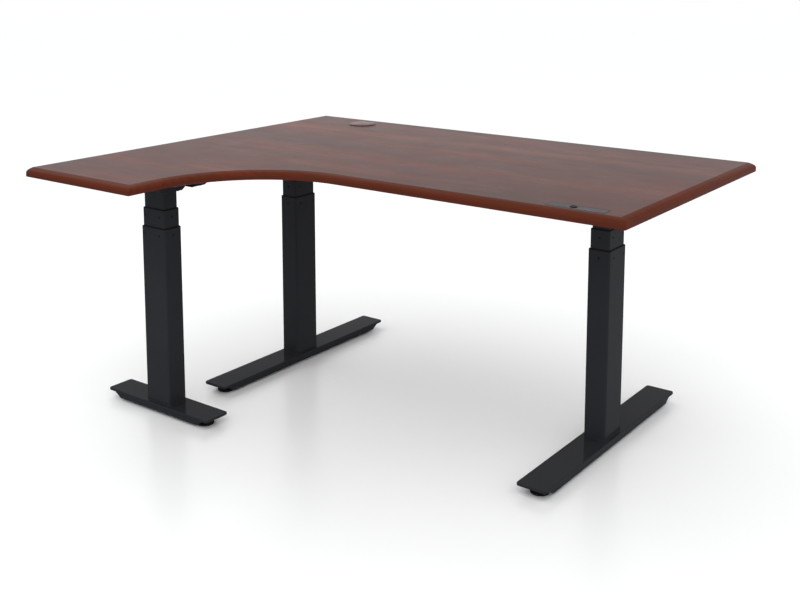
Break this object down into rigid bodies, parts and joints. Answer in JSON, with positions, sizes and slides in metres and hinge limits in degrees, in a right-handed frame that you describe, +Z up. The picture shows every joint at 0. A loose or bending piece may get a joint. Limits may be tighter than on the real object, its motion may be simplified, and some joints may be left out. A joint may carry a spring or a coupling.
{
  "type": "height adjustable standing desk",
  "caption": "L-shaped electric sit-stand desk: wood-look top with a concave inner curve on telescoping rectangular columns, T-shaped flat feet, grommet and control plate.",
  "frame": {"origin": "middle of the footprint on the floor, at the stored height", "axes": "+X along the long back edge towards the right leg, +Y towards the back edge, +Z up"},
  "size_m": [1.524, 1.2192, 0.7154],
  "materials": {
    "powder_coat": "satin black powder coat",
    "wood_laminate": "satin cherry wood-grain laminate",
    "black_plastic": "fine matte moulding",
    "brown_plastic": "fine matte moulding",
    "grey_plastic": "satin moulding",
    "bare_steel": "ground and oiled",
    "pad_rubber": "matte",
    "motor_housing": "black painted die casting",
    "cable_sheath": "smooth sheath"
  },
  "bodies": {
    "corner_base": {"corner_foot": "powder_coat", "corner_outer_tube": "powder_coat", "corner_outer_glide": "black_plastic", "corner_base_screw": "bare_steel"},
    "corner_middle": {"corner_middle_tube": "powder_coat", "corner_middle_glide": "black_plastic"},
    "top": {"desktop": "wood_laminate", "grommet_ring": "brown_plastic", "control_plate": "grey_plastic", "control_housing": "black_plastic", "control_box": "black_plastic", "power_inlet": "black_plastic", "main_front_crossbar": "powder_coat", "main_rear_crossbar": "powder_coat", "return_inner_crossbar": "powder_coat", "return_outer_crossbar": "powder_coat", "corner_support_rail": "powder_coat", "right_support_rail": "powder_coat", "left_support_rail": "powder_coat", "right_motor_lead": "cable_sheath", "corner_motor_lead": "cable_sheath", "left_motor_lead": "cable_sheath", "button_lead": "cable_sheath", "corner_inner_tube": "powder_coat", "corner_head_bracket": "powder_coat", "corner_motor": "motor_housing", "right_inner_tube": "powder_coat", "right_head_bracket": "powder_coat", "right_motor": "motor_housing", "left_inner_tube": "powder_coat", "left_head_bracket": "powder_coat", "left_motor": "motor_housing"},
    "right_middle": {"right_middle_tube": "powder_coat", "right_middle_glide": "black_plastic"},
    "right_base": {"right_foot": "powder_coat", "right_outer_tube": "powder_coat", "right_outer_glide": "black_plastic", "right_base_screw": "bare_steel"},
    "left_middle": {"left_middle_tube": "powder_coat", "left_middle_glide": "black_plastic"},
    "left_base": {"left_foot": "powder_coat", "left_outer_tube": "powder_coat", "left_outer_glide": "black_plastic", "left_base_screw": "bare_steel"},
    "corner_hollow_screw": {"corner_hollow_screw": "bare_steel"},
    "corner_drive_tube": {"corner_drive_tube": "bare_steel"},
    "corner_pad_a": {"corner_pad_a": "pad_rubber"},
    "corner_pad_b": {"corner_pad_b": "pad_rubber"},
    "right_hollow_screw": {"right_hollow_screw": "bare_steel"},
    "right_drive_tube": {"right_drive_tube": "bare_steel"},
    "right_pad_a": {"right_pad_a": "pad_rubber"},
    "right_pad_b": {"right_pad_b": "pad_rubber"},
    "left_hollow_screw": {"left_hollow_screw": "bare_steel"},
    "left_drive_tube": {"left_drive_tube": "bare_steel"},
    "left_pad_a": {"left_pad_a": "pad_rubber"},
    "left_pad_b": {"left_pad_b": "pad_rubber"},
    "grommet_cap": {"grommet_cap": "brown_plastic"},
    "rocker_button": {"rocker_button": "black_plastic"}
  },
  "joints": [
    {"name": "lift", "type": "slide", "parent": "corner_base", "child": "corner_middle", "axis": [0, 0, 1], "range_m": [-0.045, 0.27]},
    {"name": "corner_inner_slide", "type": "slide", "parent": "corner_middle", "child": "top", "axis": [0, 0, 1], "range_m": [-0.045, 0.27]},
    {"name": "right_inner_slide", "type": "slide", "parent": "top", "child": "right_middle", "axis": [0, 0, -1], "range_m": [-0.045, 0.27]},
    {"name": "right_middle_slide", "type": "slide", "parent": "right_middle", "child": "right_base", "axis": [0, 0, -1], "range_m": [-0.045, 0.27]},
    {"name": "left_inner_slide", "type": "slide", "parent": "top", "child": "left_middle", "axis": [0, 0, -1], "range_m": [-0.045, 0.27]},
    {"name": "left_middle_slide", "type": "slide", "parent": "left_middle", "child": "left_base", "axis": [0, 0, -1], "range_m": [-0.045, 0.27]},
    {"name": "corner_hollow_screw_turn", "type": "hinge", "parent": "corner_middle", "child": "corner_hollow_screw", "pos_m": [-0.527, 0.198, 0.4], "axis": [0, 0, 1], "continuous": true},
    {"name": "corner_drive_tube_turn", "type": "hinge", "parent": "top", "child": "corner_drive_tube", "pos_m": [-0.527, 0.198, 0.4], "axis": [0, 0, 1], "continuous": true},
    {"name": "right_hollow_screw_turn", "type": "hinge", "parent": "right_middle", "child": "right_hollow_screw", "pos_m": [0.527, 0.198, 0.4], "axis": [0, 0, 1], "continuous": true},
    {"name": "right_drive_tube_turn", "type": "hinge", "parent": "top", "child": "right_drive_tube", "pos_m": [0.527, 0.198, 0.4], "axis": [0, 0, 1], "continuous": true},
    {"name": "left_hollow_screw_turn", "type": "hinge", "parent": "left_middle", "child": "left_hollow_screw", "pos_m": [-0.5562, -0.3314, 0.4], "axis": [0, 0, 1], "continuous": true},
    {"name": "left_drive_tube_turn", "type": "hinge", "parent": "top", "child": "left_drive_tube", "pos_m": [-0.5562, -0.3314, 0.4], "axis": [0, 0, 1], "continuous": true},
    {"name": "corner_pad_a_turn", "type": "hinge", "parent": "corner_base", "child": "corner_pad_a", "pos_m": [-0.527, 0.526, 0.01], "axis": [0, 0, 1], "continuous": true},
    {"name": "corner_pad_b_turn", "type": "hinge", "parent": "corner_base", "child": "corner_pad_b", "pos_m": [-0.527, -0.13, 0.01], "axis": [0, 0, 1], "continuous": true},
    {"name": "right_pad_a_turn", "type": "hinge", "parent": "right_base", "child": "right_pad_a", "pos_m": [0.527, 0.526, 0.01], "axis": [0, 0, 1], "continuous": true},
    {"name": "right_pad_b_turn", "type": "hinge", "parent": "right_base", "child": "right_pad_b", "pos_m": [0.527, -0.13, 0.01], "axis": [0, 0, 1], "continuous": true},
    {"name": "left_pad_a_turn", "type": "hinge", "parent": "left_base", "child": "left_pad_a", "pos_m": [-0.7112, -0.3314, 0.01], "axis": [0, 0, 1], "continuous": true},
    {"name": "left_pad_b_turn", "type": "hinge", "parent": "left_base", "child": "left_pad_b", "pos_m": [-0.4012, -0.3314, 0.01], "axis": [0, 0, 1], "continuous": true},
    {"name": "grommet_cap_lift", "type": "slide", "parent": "top", "child": "grommet_cap", "axis": [0, 0, 1], "range_m": [0, 0.03]},
    {"name": "rocker_tilt", "type": "hinge", "parent": "top", "child": "rocker_button", "pos_m": [0.613, -0.157, 0.706], "axis": [0, 1, 0], "range_deg": [-4, 4], "stiffness_Nm_per_rad": 0.3}
  ],
  "couplings": [
    {"joint": "corner_inner_slide", "follows": "lift", "ratio": 1},
    {"joint": "right_inner_slide", "follows": "lift", "ratio": 1},
    {"joint": "right_middle_slide", "follows": "lift", "ratio": 1},
    {"joint": "left_inner_slide", "follows": "lift", "ratio": 1},
    {"joint": "left_middle_slide", "follows": "lift", "ratio": 1},
    {"joint": "corner_hollow_screw_turn", "follows": "lift", "rad_per_m": 392.7},
    {"joint": "corner_drive_tube_turn", "follows": "lift", "rad_per_m": 785.4},
    {"joint": "right_hollow_screw_turn", "follows": "lift", "rad_per_m": 392.7},
    {"joint": "right_drive_tube_turn", "follows": "lift", "rad_per_m": 785.4},
    {"joint": "left_hollow_screw_turn", "follows": "lift", "rad_per_m": 392.7},
    {"joint": "left_drive_tube_turn", "follows": "lift", "rad_per_m": 785.4}
  ]
}
